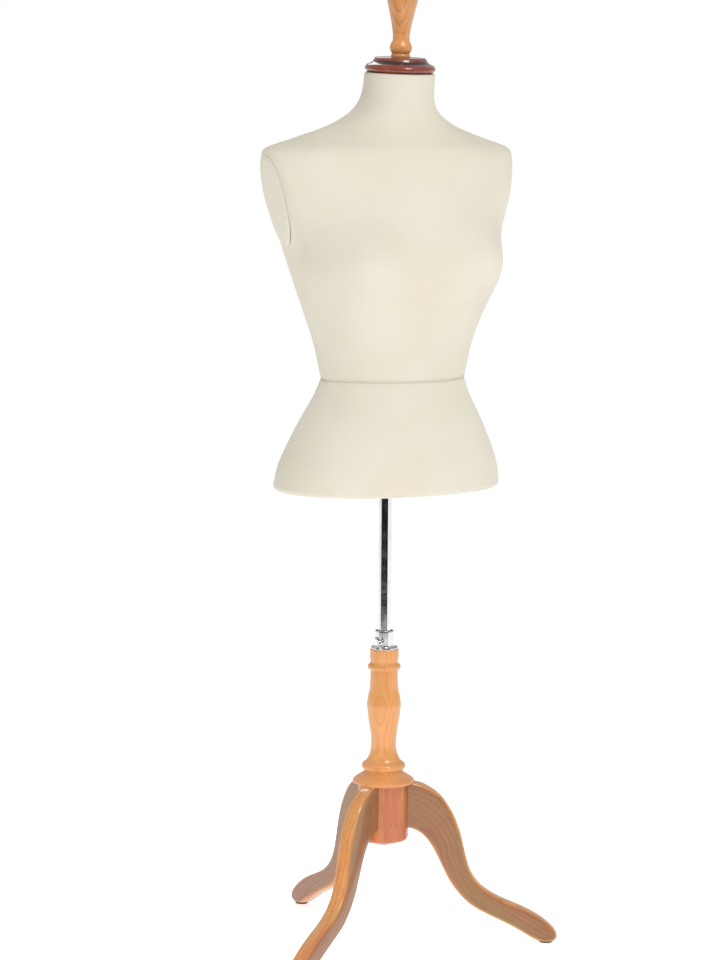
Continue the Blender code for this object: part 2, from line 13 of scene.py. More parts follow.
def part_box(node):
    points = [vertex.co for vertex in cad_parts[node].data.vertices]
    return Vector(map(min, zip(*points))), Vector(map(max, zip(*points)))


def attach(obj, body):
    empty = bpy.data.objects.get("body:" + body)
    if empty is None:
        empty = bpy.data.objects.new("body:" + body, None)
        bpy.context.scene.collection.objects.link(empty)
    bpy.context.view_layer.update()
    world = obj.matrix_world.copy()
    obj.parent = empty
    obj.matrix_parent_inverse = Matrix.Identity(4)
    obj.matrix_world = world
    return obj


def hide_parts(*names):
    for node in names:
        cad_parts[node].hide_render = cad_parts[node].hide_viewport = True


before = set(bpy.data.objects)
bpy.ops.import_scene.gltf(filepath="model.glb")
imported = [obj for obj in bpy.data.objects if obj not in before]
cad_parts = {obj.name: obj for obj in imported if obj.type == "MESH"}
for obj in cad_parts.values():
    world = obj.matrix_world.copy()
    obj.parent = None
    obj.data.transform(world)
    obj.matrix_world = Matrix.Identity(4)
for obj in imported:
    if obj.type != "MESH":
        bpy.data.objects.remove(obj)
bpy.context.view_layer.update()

# ---------------------------------------------------------------- Studio
# A white paper floor, a pale room and large soft lamps. The key lamp stands high before the
# form, and a curved black cloth beside the camera gives the chrome something to mirror.

MM = 0.001
scene = bpy.context.scene
pole_low, pole_high = (Vector(corner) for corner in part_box("pole"))
POLE_FOOT = Vector(((pole_low.x + pole_high.x) / 2.0, (pole_low.y + pole_high.y) / 2.0, 0.0))
AXIS = Matrix.Translation(POLE_FOOT)

CAMERA_TURN = math.radians(28.0)      # the camera stands this far round to the form's right
CAMERA_DISTANCE = 4.5
CAMERA_HEIGHT = 1.3
AIM_HEIGHT = 0.75
CAMERA_ROLL = math.radians(0.45)
LENS = 113.34
SHIFT = (-0.02697, -0.02661)

camera = bpy.data.objects.new("camera", bpy.data.cameras.new("camera"))
scene.collection.objects.link(camera)
camera.location = POLE_FOOT + Vector((-CAMERA_DISTANCE * math.sin(CAMERA_TURN),
                                      -CAMERA_DISTANCE * math.cos(CAMERA_TURN), CAMERA_HEIGHT))
sight = POLE_FOOT + Vector((0.0, 0.0, AIM_HEIGHT)) - camera.location
camera.rotation_euler = (sight.to_track_quat("-Z", "Y").to_matrix()
                         @ Matrix.Rotation(CAMERA_ROLL, 3, "Z")).to_euler()
camera.data.lens = LENS
camera.data.shift_x, camera.data.shift_y = SHIFT
scene.camera = camera
scene.view_settings.view_transform = "Standard"


class Wire:
    """The output of a node. Arithmetic on it adds Math nodes to its finish."""

    def __init__(self, finish, socket):
        self.finish = finish
        self.socket = socket

    def maths(self, operation, *others):
        values = dict(enumerate((self, *others)))
        return self.finish.node("Math", values, operation=operation)

    def __add__(self, other):
        return self.maths("ADD", other)

    def __sub__(self, other):
        return self.maths("SUBTRACT", other)

    def __mul__(self, other):
        return self.maths("MULTIPLY", other)

    def __truediv__(self, other):
        return self.maths("DIVIDE", other)

    def __pow__(self, other):
        return self.maths("POWER", other)

    def __rsub__(self, other):
        return self.finish.node("Math", {0: other, 1: self}, operation="SUBTRACT")

    __radd__ = __add__
    __rmul__ = __mul__

    def between(self, low, high):
        """0 below low, 1 above high and smooth between them."""
        return self.finish.node("MapRange", {"Value": self, "From Min": low, "From Max": high},
                                interpolation_type="SMOOTHSTEP")


class Finish:
    """A material in the making. Words are the shader's own sockets, with _ for a space."""

    def __init__(self, name, **constants):
        self.material = bpy.data.materials.new(name)
        self.material.use_nodes = True
        self.tree = self.material.node_tree
        self.shader = self.tree.nodes["Principled BSDF"]
        self.set(**constants)

    def feed(self, socket, value):
        if isinstance(value, Wire):
            self.tree.links.new(value.socket, socket)
        elif isinstance(value, tuple) and socket.type == "RGBA":
            socket.default_value = (*value[:3], 1.0)
        else:
            socket.default_value = value

    def set(self, **values):
        for key, value in values.items():
            self.feed(self.shader.inputs[key.replace("_", " ")], value)

    def node(self, kind, values=None, out=0, **settings):
        made = self.tree.nodes.new("ShaderNode" + kind)
        for key, value in settings.items():
            setattr(made, key, value)
        for key, value in (values or {}).items():
            self.feed(made.inputs[key], value)
        return Wire(self, made.outputs[out])

    def stored(self, name, out=1):
        """A value stored in the mesh: out 1 is a vector, 2 a number."""
        return self.node("Attribute", out=out, attribute_name=name)

    def place(self):
        """Where a point is, in metres, in the piece's own mesh."""
        return self.node("TexCoord", out=3)

    def parts(self, vector):
        split = self.node("SeparateXYZ", {0: vector})
        return [Wire(self, socket) for socket in split.socket.node.outputs]

    def stretched(self, vector, x, y, z):
        return self.node("VectorMath", {0: vector, 1: (x, y, z)}, operation="MULTIPLY")

    def moved(self, vector, x, y, z):
        return self.node("VectorMath", {0: vector, 1: (x, y, z)}, operation="ADD")

    def cloudy(self, vector, scale, detail=3.0, roughness=0.55):
        return self.node("TexNoise", {"Vector": vector, "Scale": scale, "Detail": detail,
                                      "Roughness": roughness})

    def mix(self, first, second, share):
        return self.node("Mix", {0: share, 6: first, 7: second}, out=2, data_type="RGBA")

    def relief(self, height, depth, strength=1.0):
        """Bump the surface by height (0 to 1) times depth in metres."""
        self.set(Normal=self.node("Bump", {"Height": height, "Distance": depth,
                                           "Strength": strength}))


PAPER_GLOW = 0.56                     # the paper is lit from beneath, so it keeps white far off
paper = Finish("floor_paper", Roughness=0.9, Specular_IOR_Level=0.2,
               Emission_Color=(1.0, 1.0, 1.0), Emission_Strength=PAPER_GLOW)
PAPER_WHITE = (0.90, 0.90, 0.90)
PAPER_SHADE = (0.87, 0.87, 0.87)
paper.set(Base_Color=paper.mix(PAPER_SHADE, PAPER_WHITE, paper.cloudy(paper.place(), 3.0)))

FLOOR_RADIUS = 14.0
sheet_of_paper = bmesh.new()
bmesh.ops.create_circle(sheet_of_paper, cap_ends=True, segments=96, radius=FLOOR_RADIUS)
floor_mesh = bpy.data.meshes.new("studio_floor")
sheet_of_paper.to_mesh(floor_mesh)
sheet_of_paper.free()
floor_mesh.materials.append(paper.material)
floor = bpy.data.objects.new("studio_floor", floor_mesh)
scene.collection.objects.link(floor)

ROOM_LIGHT = 0.52
room = bpy.data.worlds.new("room")
room.use_nodes = True
scene.world = room


class Room(Finish):
    """The world's nodes, written in the same way as a finish."""

    def __init__(self, world):
        self.tree = world.node_tree
        self.shader = self.tree.nodes["Background"]


walls = Room(room)
seen = walls.node("LightPath", out=0)
walls.set(Color=(1.0, 1.0, 1.0), Strength=ROOM_LIGHT + seen * (1.0 - ROOM_LIGHT))


def lamp(name, place, aim, size, power, spread=180.0):
    """A soft box, its size in metres and power in watts, set out from the foot of the pole."""
    made = bpy.data.objects.new(name, bpy.data.lights.new(name, "AREA"))
    made.data.shape = "RECTANGLE"
    made.data.size, made.data.size_y = size
    made.data.energy = power
    made.data.spread = math.radians(spread)
    scene.collection.objects.link(made)
    made.location = POLE_FOOT + Vector(place)
    made.rotation_euler = (Vector(aim) - Vector(place)).to_track_quat("-Z", "Y").to_euler()
    made.visible_camera = False


lamp("key_lamp", (0.2, -2.8, 3.7), (0.0, 0.0, 0.9), (1.2, 1.2), 55.0)
lamp("strip_lamp", (-2.6, -0.6, 1.2), (0.0, 0.0, 0.4), (0.35, 1.4), 4.0)
lamp("hair_lamp", (0.8, 2.4, 2.8), (0.0, 0.0, 0.9), (1.2, 0.8), 10.0)
lamp("low_lamp", (-1.7, -2.2, 0.6), (0.0, 0.0, 0.10), (0.5, 0.5), 0.45, spread=24.0)

FLAG_TURN = math.radians(40.0)        # the cloth's middle lies this far round from the front
FLAG_SPREAD = math.radians(60.0)      # and its ends this far round to either side of that
FLAG_AWAY = 2.6
FLAG_TOP = 1.75
FLAG_POSTS = 25
CLOTH_BLACK = (0.012, 0.012, 0.013)
black = Finish("black_cloth", Roughness=1.0, Specular_IOR_Level=0.0, Base_Color=CLOTH_BLACK)
card = bmesh.new()
posts = []
for k in range(FLAG_POSTS):
    turn = FLAG_TURN + FLAG_SPREAD * (2.0 * k / (FLAG_POSTS - 1) - 1.0)
    foot = POLE_FOOT + FLAG_AWAY * Vector((-math.sin(turn), -math.cos(turn), 0.0))
    posts.append((card.verts.new(foot), card.verts.new(foot + Vector((0.0, 0.0, FLAG_TOP)))))
for (low, high), (next_low, next_high) in zip(posts, posts[1:]):
    card.faces.new((low, next_low, next_high, high))
flag_mesh = bpy.data.meshes.new("black_flag")
card.to_mesh(flag_mesh)
card.free()
flag_mesh.materials.append(black.material)
flag = bpy.data.objects.new("black_flag", flag_mesh)
scene.collection.objects.link(flag)
flag.visible_camera = False
flag.visible_diffuse = False
flag.visible_shadow = False

# ---------------------------------------------------------------- Foot pads
# Three discs of pressed brown felt, glued under the toes so the legs don't mark the floor.

def paint(finish, *node_names):
    """Give a finish to CAD nodes whose shape stays."""
    for node_name in node_names:
        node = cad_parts[node_name]
        if not node.material_slots:
            node.data.materials.append(finish.material)
        for held in node.material_slots:
            held.material = finish.material


FELT_DARK = (0.045, 0.032, 0.022)
FELT_LIGHT = (0.13, 0.10, 0.075)
felt = Finish("pressed_felt", Roughness=0.95, Sheen_Weight=0.4, Sheen_Roughness=0.6)
fibres = felt.cloudy(felt.place(), 1400.0, 6.0, 0.75)
felt.set(Base_Color=felt.mix(FELT_DARK, FELT_LIGHT, fibres.between(0.3, 0.7)))
felt.relief(fibres, 0.4 * MM)
paint(felt, "foot_pad_back", "foot_pad_left", "foot_pad_right")

# ---------------------------------------------------------------- Legs
# Three swept legs band-sawn from 25 mm boards, their edges rounded over with a cutter, coped to
# the hub and held by two dowels each. They are stained honey brown and varnished to a gloss.

LEG_ANGLES = {"back": 93.0, "left": -27.0, "right": 213.0}
LEG_THICKNESS = 24.5
LEG_EDGE = 6.0
LEG_OUTLINE = [
    (30.0, 249.2), (52.0, 248.8), (71.0, 240.5), (87.5, 228.0), (100.0, 211.5), (109.5, 194.0),
    (117.0, 174.0), (122.5, 153.0), (128.0, 130.0), (135.0, 110.0), (145.5, 94.0), (160.0, 81.0),
    (178.0, 70.3), (199.0, 61.0), (220.0, 51.5), (239.0, 41.0), (255.0, 29.0), (264.5, 18.5),
    (267.0, 9.5), (261.5, 3.3), (240.0, 3.3), (228.0, 8.5), (213.5, 17.0), (197.0, 26.5),
    (178.0, 36.0), (158.5, 45.5), (141.0, 55.0), (126.5, 66.5), (113.5, 80.5), (101.5, 97.5),
    (92.5, 115.0), (82.5, 136.0), (72.0, 155.0), (59.0, 170.0), (44.0, 178.0), (30.0, 182.0),
]
HUB_RADIUS = 38.4
GAP = 0.3
RING_PERIOD = 0.314                   # metres from ring to ring in the wave texture at scale 1
RING_WANDER = (0.018, 0.012, 0.0)     # metres that the rings stray from true circles
LATE_WOOD = 2.2                       # how steeply each ring darkens towards its late wood
LATE_SHARE, FINE_SHARE, BROAD_SHARE = 0.28, 0.40, 0.32
VARNISH_ROUGHNESS = 0.30
PORE_DEPTH = 0.12


def wood(name, light, dark, streak, flush, ring_width, gloss, pith=(0.05, 0.09), stored=True):
    """Varnished wood. Its grain runs along z of the stored grain, with rings round the pith."""
    made = Finish(name, Coat_Weight=gloss, Coat_Roughness=0.07, Coat_IOR=1.5,
                  Specular_IOR_Level=0.45)
    along = made.stored("grain") if stored else made.place()

    def figure(shrink, scale, detail, roughness=0.55):
        """Noise drawn out along the grain, the more so the smaller shrink is."""
        return made.cloudy(made.stretched(along, 1.0, 1.0, shrink), scale, detail, roughness)

    wander = figure(0.22, 9.0, 2.0)
    shifted = made.moved(along, pith[0], pith[1], 0.0)
    bent = made.node("VectorMath", {0: made.node("CombineXYZ", {0: wander, 1: wander}),
                                    1: RING_WANDER, 2: shifted}, operation="MULTIPLY_ADD")
    rings = made.node("TexWave", {"Vector": bent, "Scale": RING_PERIOD / (ring_width * MM),
                                  "Distortion": 1.6, "Detail": 2.0, "Detail Scale": 0.6},
                      out=1, wave_type="RINGS", rings_direction="Z", wave_profile="SAW")
    fine = figure(0.03, 420.0, 4.0, 0.6)
    broad = figure(0.10, 75.0, 3.0)
    patch = figure(0.35, 24.0, 2.0)
    pores = figure(0.035, 1500.0, 2.0, 0.5)
    late = rings ** LATE_WOOD
    tone = late * LATE_SHARE + fine * FINE_SHARE + broad * BROAD_SHARE
    body = made.mix(light, dark, tone.between(0.25, 0.85) * 0.85)
    body = made.mix(body, streak, broad.between(0.48, 0.66) * 0.7)
    body = made.mix(body, flush, patch.between(0.50, 0.70) * 0.55)
    pits = pores.between(0.60, 0.70)
    body = made.mix(body, tuple(0.35 * c for c in dark), pits * 0.55)
    wear_and_shade = made.stored("wear_and_shade", out=2)
    # Below zero the stored value is painted shade: recesses and the legs' rounded edges darken in
    # colour for the shade there, with some varnish pooled in the recesses. Above zero it is wear on
    # proud places.
    pooled_varnish_and_shade = (0.0 - wear_and_shade).between(0.05, 0.75)
    rubbed = wear_and_shade.between(0.1, 0.9)
    body = made.mix(body, tuple(0.15 * c for c in dark), pooled_varnish_and_shade)
    body = made.mix(body, tuple(min(1.0, 1.25 * c) for c in light), rubbed * 0.35)
    made.set(Base_Color=body, Roughness=VARNISH_ROUGHNESS + 0.12 * fine + 0.1 * pooled_varnish_and_shade)
    made.relief(0.35 * late + 0.3 * fine - 0.8 * pits, PORE_DEPTH * MM, 0.6)
    return made


honey = wood("honey_varnished_wood", light=(0.72, 0.31, 0.095), dark=(0.38, 0.115, 0.032),
             streak=(0.62, 0.33, 0.085), flush=(0.56, 0.15, 0.045),
             ring_width=5.0, gloss=0.75)


def board(name, points, thickness, edge, fineness, roundness=5):
    """A smooth outline in the local XY plane, thickened along Z, its edges rounded by edge."""
    curve = bpy.data.curves.new(name, "CURVE")
    curve.dimensions = "2D"
    curve.fill_mode = "BOTH"
    curve.extrude = (thickness / 2.0 - edge) * MM
    curve.bevel_depth = edge * MM
    curve.bevel_resolution = roundness
    curve.offset = -edge * MM
    spline = curve.splines.new("BEZIER")
    spline.bezier_points.add(len(points) - 1)
    for knot, (x, y) in zip(spline.bezier_points, points):
        knot.co = (x * MM, y * MM, 0.0)
        knot.handle_left_type = "AUTO"
        knot.handle_right_type = "AUTO"
    spline.resolution_u = fineness
    spline.use_cyclic_u = True
    drawn = bpy.data.objects.new(name + "_outline", curve)
    scene.collection.objects.link(drawn)
    graph = bpy.context.evaluated_depsgraph_get()
    mesh = bpy.data.meshes.new_from_object(drawn.evaluated_get(graph))
    bpy.data.objects.remove(drawn, do_unlink=True)
    shape = bmesh.new()
    shape.from_mesh(mesh)
    bmesh.ops.remove_doubles(shape, verts=shape.verts, dist=0.01 * MM)
    bmesh.ops.recalc_face_normals(shape, faces=shape.faces)
    return shape


def piece(name, shape, place=AXIS):
    """A bmesh in metres made into an object, its points moved to where they belong."""
    shape.transform(place)
    mesh = bpy.data.meshes.new(name)
    shape.to_mesh(mesh)
    shape.free()
    made = bpy.data.objects.new(name, mesh)
    scene.collection.objects.link(made)
    return made


def joined(made, tool, operation):
    """Cut tool from a piece, or join it on, for good."""
    change = made.modifiers.new("join", "BOOLEAN")
    change.operation = operation
    change.solver = "EXACT"
    change.object = tool
    graph = bpy.context.evaluated_depsgraph_get()
    result = bpy.data.meshes.new_from_object(made.evaluated_get(graph))
    made.modifiers.clear()
    made.data = result
    bpy.data.objects.remove(tool, do_unlink=True)


def bar(radius, start, end, sides=96):
    """A round bar between two points in mm, as a bmesh in metres."""
    shape = bmesh.new()
    start = Vector(start) * MM
    end = Vector(end) * MM
    turn = (end - start).to_track_quat("Z", "Y").to_matrix().to_4x4()
    bmesh.ops.create_cone(shape, cap_ends=True, segments=sides, radius1=radius * MM,
                          radius2=radius * MM, depth=(end - start).length,
                          matrix=Matrix.Translation((start + end) / 2.0) @ turn)
    return shape


def store(made, name, values):
    """Store a number or a vector for every point of a piece, for its finish to read."""
    if isinstance(values[0], float):
        made.data.attributes.new(name, "FLOAT", "POINT")
        made.data.attributes[name].data.foreach_set("value", values)
        return
    made.data.attributes.new(name, "FLOAT_VECTOR", "POINT")
    made.data.attributes[name].data.foreach_set("vector", [part for v in values for part in v])


def store_grain(made, in_plank, wear_and_shade):
    """Store each point's place in the plank it was cut from, and its wear, above zero, and its
    painted shade, below zero.
    """
    spots = [vertex.co.copy() for vertex in made.data.vertices]
    store(made, "grain", [in_plank(spot) for spot in spots])
    store(made, "wear_and_shade", [wear_and_shade(spot) for spot in spots])


def complete(made, finish, body, slot, *replaced, crease=35.0):
    """Finish a piece, let it move with its body, and hide the nodes that it stands for."""
    made.data.materials.clear()
    made.data.materials.append(finish.material)
    made.data.shade_smooth()
    made.data.set_sharp_from_angle(angle=math.radians(crease))
    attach(made, body)
    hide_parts(*replaced)
    return made


LEG_LINE = [
    (10.0, 216.0), (45.0, 213.0), (68.0, 203.0), (87.0, 183.0), (100.0, 158.0), (108.0, 134.0),
    (118.0, 112.0), (131.0, 92.0), (149.0, 75.0), (172.0, 61.0), (205.0, 45.0), (245.0, 26.0),
    (300.0, 4.0),
]
GRAIN_DRIFT = 0.09                    # how far the grain runs out sideways along the leg
# How dark the painted shade along the legs' rounded edges is.
EDGE_SHADE = 0.45
NEXT_PLANK = Vector((0.013, 0.011, 0.6))             # metres from one leg's plank to the next


def down_the_leg(back, apart):
    """Says where a leg's point lies in the plank: across, through it, and along the leg's line."""
    line = [Vector(point) for point in LEG_LINE]

    def in_plank(spot):
        local = back @ spot / MM
        flat = local.to_2d()
        run = 0.0
        best = None
        for a, b in zip(line, line[1:]):
            chord = b - a
            share = min(max((flat - a).dot(chord) / chord.length_squared, 0.0), 1.0)
            gap = flat - (a + chord * share)
            if best is None or gap.length < best[0]:
                side = math.copysign(gap.length, chord.cross(gap))
                best = (gap.length, side, run + share * chord.length)
            run += chord.length
        return apart + MM * Vector((best[1] + GRAIN_DRIFT * best[2], local.z, best[2]))
    return in_plank


def edge_shade(back):
    """Painted shade: a leg's rounded edges are darkened in colour, where the light falls away from
    them.
    """
    def wear_and_shade(spot):
        depth = abs((back @ spot).z / MM)
        round_edge = min(max((depth - LEG_THICKNESS / 2.0 + LEG_EDGE) / LEG_EDGE, 0.0), 1.0)
        return -EDGE_SHADE * round_edge ** 2
    return wear_and_shade


for number, (leg_name, angle) in enumerate(LEG_ANGLES.items()):
    upright = Matrix.Rotation(math.radians(90.0), 4, "X")
    swing = AXIS @ Matrix.Rotation(math.radians(angle), 4, "Z") @ upright
    leg = piece("sawn_leg_" + leg_name,
                board("leg", LEG_OUTLINE[::-1], LEG_THICKNESS, LEG_EDGE, fineness=5), swing)
    hub_space = piece("hub_space", bar(HUB_RADIUS + GAP, (0, 0, 150), (0, 0, 260)))
    joined(leg, hub_space, "DIFFERENCE")
    back = swing.inverted()
    store_grain(leg, down_the_leg(back, number * NEXT_PLANK), edge_shade(back))
    complete(leg, honey, "base", "turned_wood", "leg_" + leg_name)

# ---------------------------------------------------------------- Hub and its fixings
# A plain turned block of redder wood that the legs are dowelled to. A bolt with a washer comes
# up through it from below and draws the column's tenon down into it.

russet = wood("russet_varnished_wood", light=(0.56, 0.16, 0.055), dark=(0.29, 0.065, 0.020),
              streak=(0.58, 0.21, 0.060), flush=(0.54, 0.095, 0.030),
              ring_width=3.4, gloss=0.55, pith=(0.02, 0.03))
HUB_PROFILE = [(18.3, 249.7), (38.0, 249.7), (38.4, 249.3), (38.4, 167.0), (38.0, 164.2),
               (36.6, 161.9), (34.4, 161.0), (18.3, 161.0)]
CORNER = math.radians(60.0)           # a profile turning more than this keeps a sharp arris
STRAIGHT = 0.8                        # a line four times its neighbour's length stays straight
WEAR_REACH = 3.5                      # mm of profile over which wear and the painted shade in recesses are judged
WEAR_FULL = 1.1                       # mm proud of that profile at which the wear is full, and below it at which the painted shade is full
INSIDE = 1.0                          # mm below it at which a point is in the bore instead
NEXT_TURNING = Vector((1.0, 0.5, 9.0))               # which way turnings lie apart in the wood


def smooth_profile(points, step):
    """A flowing line through (r, z) points, sampled about every step mm, sharp at corners."""
    spots = [Vector(point) for point in points]
    chords = [b - a for a, b in zip(spots, spots[1:])]
    line = []
    for i, chord in enumerate(chords):
        length = chord.length
        ends = []
        for near, inner in ((i - 1, 0), (i + 1, 1)):
            slope = chord
            if 0 <= near < len(chords) and chords[near].angle(chord) < CORNER:
                other = chords[near]
                share = length / (length + other.length)
                if max(share, 1.0 - share) > STRAIGHT:
                    share = 1.0 - round(share)
                slope = (other / other.length * share + chord / length * (1.0 - share)) * length
            ends.append(slope)
        count = max(1, math.ceil(length / step))
        for k in range(count):
            t = k / count
            line.append((2 * t ** 3 - 3 * t * t + 1) * spots[i] + (t ** 3 - 2 * t * t + t) * ends[0]
                        + (3 * t * t - 2 * t ** 3) * spots[i + 1] + (t ** 3 - t * t) * ends[1])
    return line + [spots[-1]]


def turned(line, around=96, closed=False):
    """A bmesh turned on the lathe from (r, z) points in mm, listed down the outer side."""
    shape = bmesh.new()
    rings = []
    for r, z in line:
        if r < 0.001:
            rings.append([shape.verts.new((0.0, 0.0, z * MM))])
            continue
        rings.append([shape.verts.new((r * MM * math.cos(a), r * MM * math.sin(a), z * MM))
                      for a in (2.0 * math.pi * k / around for k in range(around))])
    for upper, lower in zip(rings, rings[1:] + rings[:1] if closed else rings[1:]):
        for k in range(around):
            n = (k + 1) % around
            if len(upper) == 1:
                shape.faces.new((upper[0], lower[k], lower[n]))
            elif len(lower) == 1:
                shape.faces.new((upper[k], lower[0], upper[n]))
            else:
                shape.faces.new((upper[k], lower[k], lower[n], upper[n]))
    bmesh.ops.recalc_face_normals(shape, faces=shape.faces)
    return shape


def wear_along(line):
    """Says how far each height stands proud of (1), or lies below (-1), what is near it."""
    def wear_and_shade(spot):
        r = math.hypot(spot.x, spot.y) / MM
        z = spot.z / MM
        near = [point[0] for point in line if abs(point[1] - z) < WEAR_REACH]
        if not near or r < min(near) - INSIDE:
            return 0.0
        return max(-1.0, min(1.0, (r - sum(near) / len(near)) / WEAR_FULL))
    return wear_and_shade


def turned_piece(name, profile, finish, body, slot, replaced, step=1.2, place=AXIS, closed=False,
                 apart=0.0):
    """Turn, place and finish a wooden piece whose grain runs along the lathe's axis."""
    line = smooth_profile(profile, step)
    made = piece(name, turned(line, closed=closed), place)
    back = place.inverted()
    aside = apart * NEXT_TURNING
    wear = wear_along(line)
    store_grain(made, lambda spot: back @ spot + aside, lambda spot: wear(back @ spot))
    return complete(made, finish, body, slot, replaced)


turned_piece("turned_hub", HUB_PROFILE, russet, "base", "turned_wood", "hub", closed=True,
             apart=0.031)


def metal(name, light, dark, smooth, rough, along=(1.0, 1.0, 1.0), scratch=900.0):
    """Bare or plated metal with faint scratches and finger marks."""
    made = Finish(name, Metallic=1.0)
    spot = made.place()
    lines = made.cloudy(made.stretched(spot, *along), scratch, 3.0, 0.7)
    smudge = made.cloudy(spot, 60.0, 3.0)
    made.set(Base_Color=made.mix(light, dark, smudge.between(0.4, 0.75)),
             Roughness=smooth + (rough - smooth) * (0.5 * lines + 0.5 * smudge.between(0.35, 0.7)))
    made.relief(lines, 0.02 * MM, 0.5)
    return made


zinc = metal("zinc_plated_steel", (0.60, 0.61, 0.62), (0.42, 0.43, 0.44), 0.26, 0.48)
brass = metal("turned_brass", (0.78, 0.56, 0.24), (0.52, 0.36, 0.15), 0.22, 0.45)
paint(zinc, "hub_washer", "hub_bolt", "pole_sleeve", "finial_stud")
paint(brass, "clamp_pad")

pale = wood("bare_pale_wood", light=(0.70, 0.52, 0.32), dark=(0.50, 0.33, 0.18),
            streak=(0.64, 0.45, 0.26), flush=(0.62, 0.42, 0.24),
            ring_width=3.0, gloss=0.0, stored=False)
paint(pale, *(f"dowel_{side}_{level}" for side in LEG_ANGLES for level in ("lower", "upper")))

# ---------------------------------------------------------------- Column
# The turned column, from the drum under the collar through a bead and a long vase down to the
# discs that sit on the hub. One piece of honey-stained wood, bored for the pole's sleeve.

COLUMN_PROFILE = [
    (21.0, 455.0), (22.0, 454.0), (22.0, 441.0), (21.6, 432.5), (24.4, 430.0), (25.3, 427.0),
    (24.3, 424.0), (20.8, 422.0), (21.0, 416.0), (21.6, 402.0), (22.6, 391.0), (24.6, 381.0),
    (26.0, 372.0), (26.3, 367.5), (25.6, 364.0), (24.8, 354.0), (23.2, 343.0), (21.2, 331.0),
    (19.8, 320.0), (19.3, 310.0), (19.8, 301.0), (22.0, 291.5), (26.0, 283.5), (32.6, 277.5),
    (33.6, 274.0), (32.6, 271.2), (29.2, 269.6), (28.4, 267.6), (30.2, 265.4), (34.5, 262.2),
    (39.5, 258.9), (44.0, 255.8), (46.6, 253.2), (46.8, 250.0),
]
COLUMN_BORE = [(0.0, 205.0), (13.0, 205.0), (13.0, 455.0)]
COLUMN_TENON = [(18.0, 250.0), (18.0, 164.0), (4.3, 164.0), (4.3, 195.0), (0.0, 195.0)]
turned_piece("turned_column", COLUMN_BORE + COLUMN_PROFILE + COLUMN_TENON, honey, "base",
             "turned_wood", "column", apart=0.052)

# ---------------------------------------------------------------- Collar
# A spun and chromed steel cup screwed to the column's top by three slotted screws. A black
# nylon bush inside it guides the pole.

chrome = metal("polished_chrome", (0.80, 0.81, 0.83), (0.68, 0.69, 0.72), 0.05, 0.16,
               (1.0, 1.0, 0.05))
COLLAR_PROFILE = [(12.4, 482.9), (13.4, 483.0), (14.2, 482.7), (14.6, 481.9), (14.6, 460.2),
                  (14.9, 458.9), (15.9, 458.2), (19.6, 458.2), (20.5, 457.9), (20.8, 457.0),
                  (20.8, 455.3), (10.6, 455.3), (10.6, 475.0), (12.4, 475.0)]
CLAMP_HEIGHT = 467.0
CLAMP_TURN = Matrix.Rotation(math.radians(225.0), 4, "Z")
SCREW_HOLE = 3.3                      # radius of the hole in the cup's wall for the wing screw
collar = piece("spun_collar", turned(smooth_profile(COLLAR_PROFILE, 1.0), closed=True))
screw_hole = bar(SCREW_HOLE, (8.0, 0.0, CLAMP_HEIGHT), (18.0, 0.0, CLAMP_HEIGHT), sides=48)
joined(collar, piece("screw_hole", screw_hole, AXIS @ CLAMP_TURN), "DIFFERENCE")
complete(collar, chrome, "base", "chrome", "clamp_collar")

NYLON_BLACK = (0.018, 0.018, 0.019)
NYLON_GREY = (0.045, 0.045, 0.046)
nylon = Finish("moulded_nylon")
mottle = nylon.cloudy(nylon.place(), 900.0, 4.0)
nylon.set(Base_Color=nylon.mix(NYLON_BLACK, NYLON_GREY, mottle), Roughness=0.42 + 0.16 * mottle)
nylon.relief(mottle, 0.05 * MM, 0.6)
paint(nylon, "guide_bush", "pole_bottom_plug", "pole_top_plug")

SCREW_DOME = [(0.0, 1.0), (0.5, 0.93), (0.86, 0.55), (1.0, 0.0)]     # shares of the head's size
SLOT_WIDTH = 0.28                     # share of the head's radius


def slotted_screw(name, node, body, reach, angle, seat, head, shank, tip, slot_turn):
    """A domed screw with a slot; head is (radius, height), its height below zero if it hangs."""
    radius, height = head
    line = [(radius * share, seat + height * rise) for share, rise in SCREW_DOME]
    made = piece(name, turned(line + [(shank, seat), (shank, tip), (0.0, tip)], around=32))
    top = Matrix.Translation((0.0, 0.0, (seat + height) * MM))
    slot = bmesh.new()
    size = Matrix.Diagonal((3.0 * radius * MM, SLOT_WIDTH * radius * MM, abs(height) * MM, 1.0))
    bmesh.ops.create_cube(slot, size=1.0, matrix=top @ size)
    joined(made, piece("slot", slot, AXIS @ Matrix.Rotation(slot_turn, 4, "Z")), "DIFFERENCE")
    turn = Matrix.Rotation(math.radians(angle), 4, "Z")
    made.data.transform(AXIS @ turn @ Matrix.Translation((reach * MM, 0.0, 0.0)) @ AXIS.inverted())
    complete(made, zinc, body, "steel", node)


COLLAR_SCREW_ANGLES = (60.0, 180.0, 300.0)
for number, angle in enumerate(COLLAR_SCREW_ANGLES, start=1):
    slotted_screw(f"slotted_collar_screw_{number}", f"collar_screw_{number}", "base",
                  reach=18.0, angle=angle, seat=458.5, head=(2.4, 1.6), shank=1.1, tip=441.0,
                  slot_turn=0.9 * number)

# ---------------------------------------------------------------- Wing screw
# The chromed thumb screw that presses a brass pad on the pole to hold the form's height: a
# pressed steel wing with a round boss, brazed to a threaded shank.

